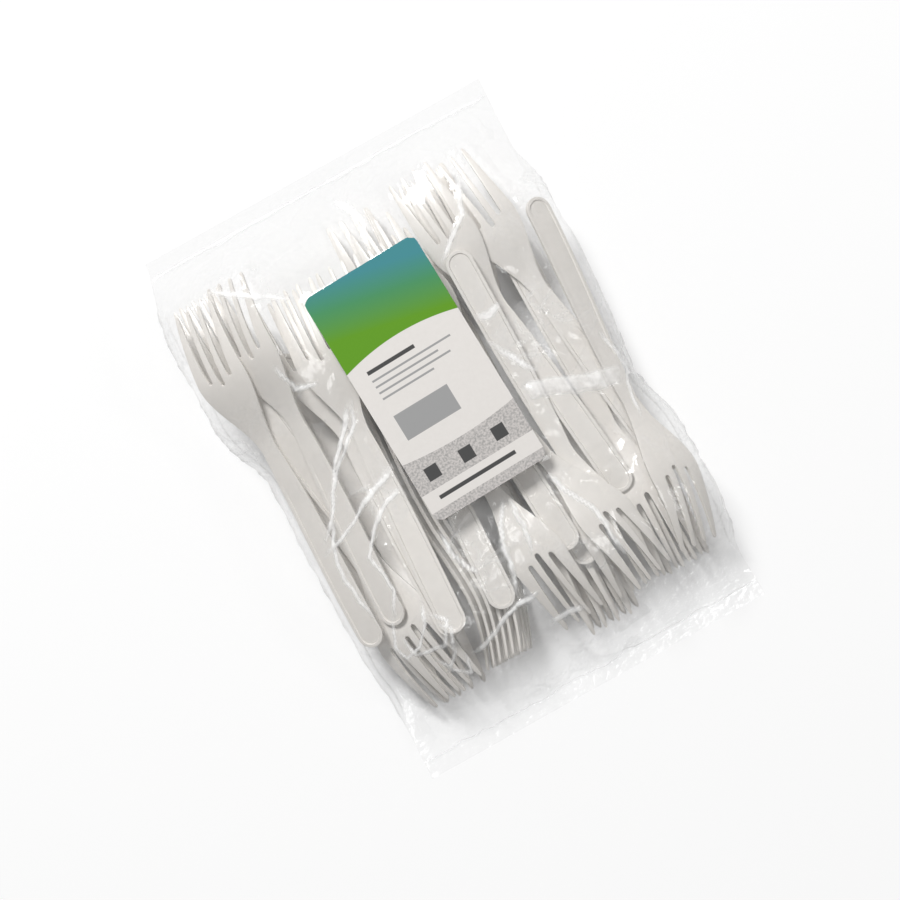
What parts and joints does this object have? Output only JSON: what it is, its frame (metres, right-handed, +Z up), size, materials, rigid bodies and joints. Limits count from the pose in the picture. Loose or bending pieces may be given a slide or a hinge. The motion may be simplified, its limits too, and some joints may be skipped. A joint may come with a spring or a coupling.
{
  "type": "pack of plastic forks",
  "caption": "Clear film bag, heat-sealed flat across both ends, holding a loose pile of white four-tine plastic forks laid head to tail, with a paper label on top.",
  "frame": {"origin": "on the table under the middle of the bag, which lies flat with its label up", "axes": "+Z up, +Y along the bag towards the end nearer the label's coloured header, +X across the bag to the right as the label is read"},
  "size_m": [0.1922, 0.275, 0.0483],
  "materials": {
    "white_plastic": "satin moulded polypropylene, warm white",
    "clear_film": "clear crinkled film",
    "label_paper": "printed paper, satin, with a teal to green header"
  },
  "bodies": {
    "root": {"fork_01": "white_plastic", "fork_02": "white_plastic", "fork_03": "white_plastic", "fork_04": "white_plastic", "fork_05": "white_plastic", "fork_06": "white_plastic", "fork_07": "white_plastic", "fork_08": "white_plastic", "fork_09": "white_plastic", "fork_10": "white_plastic", "fork_11": "white_plastic", "fork_12": "white_plastic", "fork_13": "white_plastic", "fork_14": "white_plastic", "fork_15": "white_plastic", "fork_16": "white_plastic", "fork_17": "white_plastic", "fork_18": "white_plastic", "fork_19": "white_plastic", "fork_20": "white_plastic", "fork_21": "white_plastic", "fork_22": "white_plastic", "fork_23": "white_plastic", "fork_24": "white_plastic", "fork_25": "white_plastic", "fork_26": "white_plastic", "fork_27": "white_plastic", "fork_28": "white_plastic", "fork_29": "white_plastic", "fork_30": "white_plastic", "fork_31": "white_plastic", "fork_32": "white_plastic", "fork_33": "white_plastic", "fork_34": "white_plastic", "fork_35": "white_plastic", "fork_36": "white_plastic", "fork_37": "white_plastic", "fork_38": "white_plastic", "fork_39": "white_plastic", "fork_40": "white_plastic", "fork_41": "white_plastic", "fork_42": "white_plastic", "fork_43": "white_plastic", "fork_44": "white_plastic", "fork_45": "white_plastic", "fork_46": "white_plastic", "fork_47": "white_plastic", "fork_48": "white_plastic", "fork_49": "white_plastic", "fork_50": "white_plastic", "film_bag": "clear_film", "label": "label_paper"}
  },
  "joints": []
}
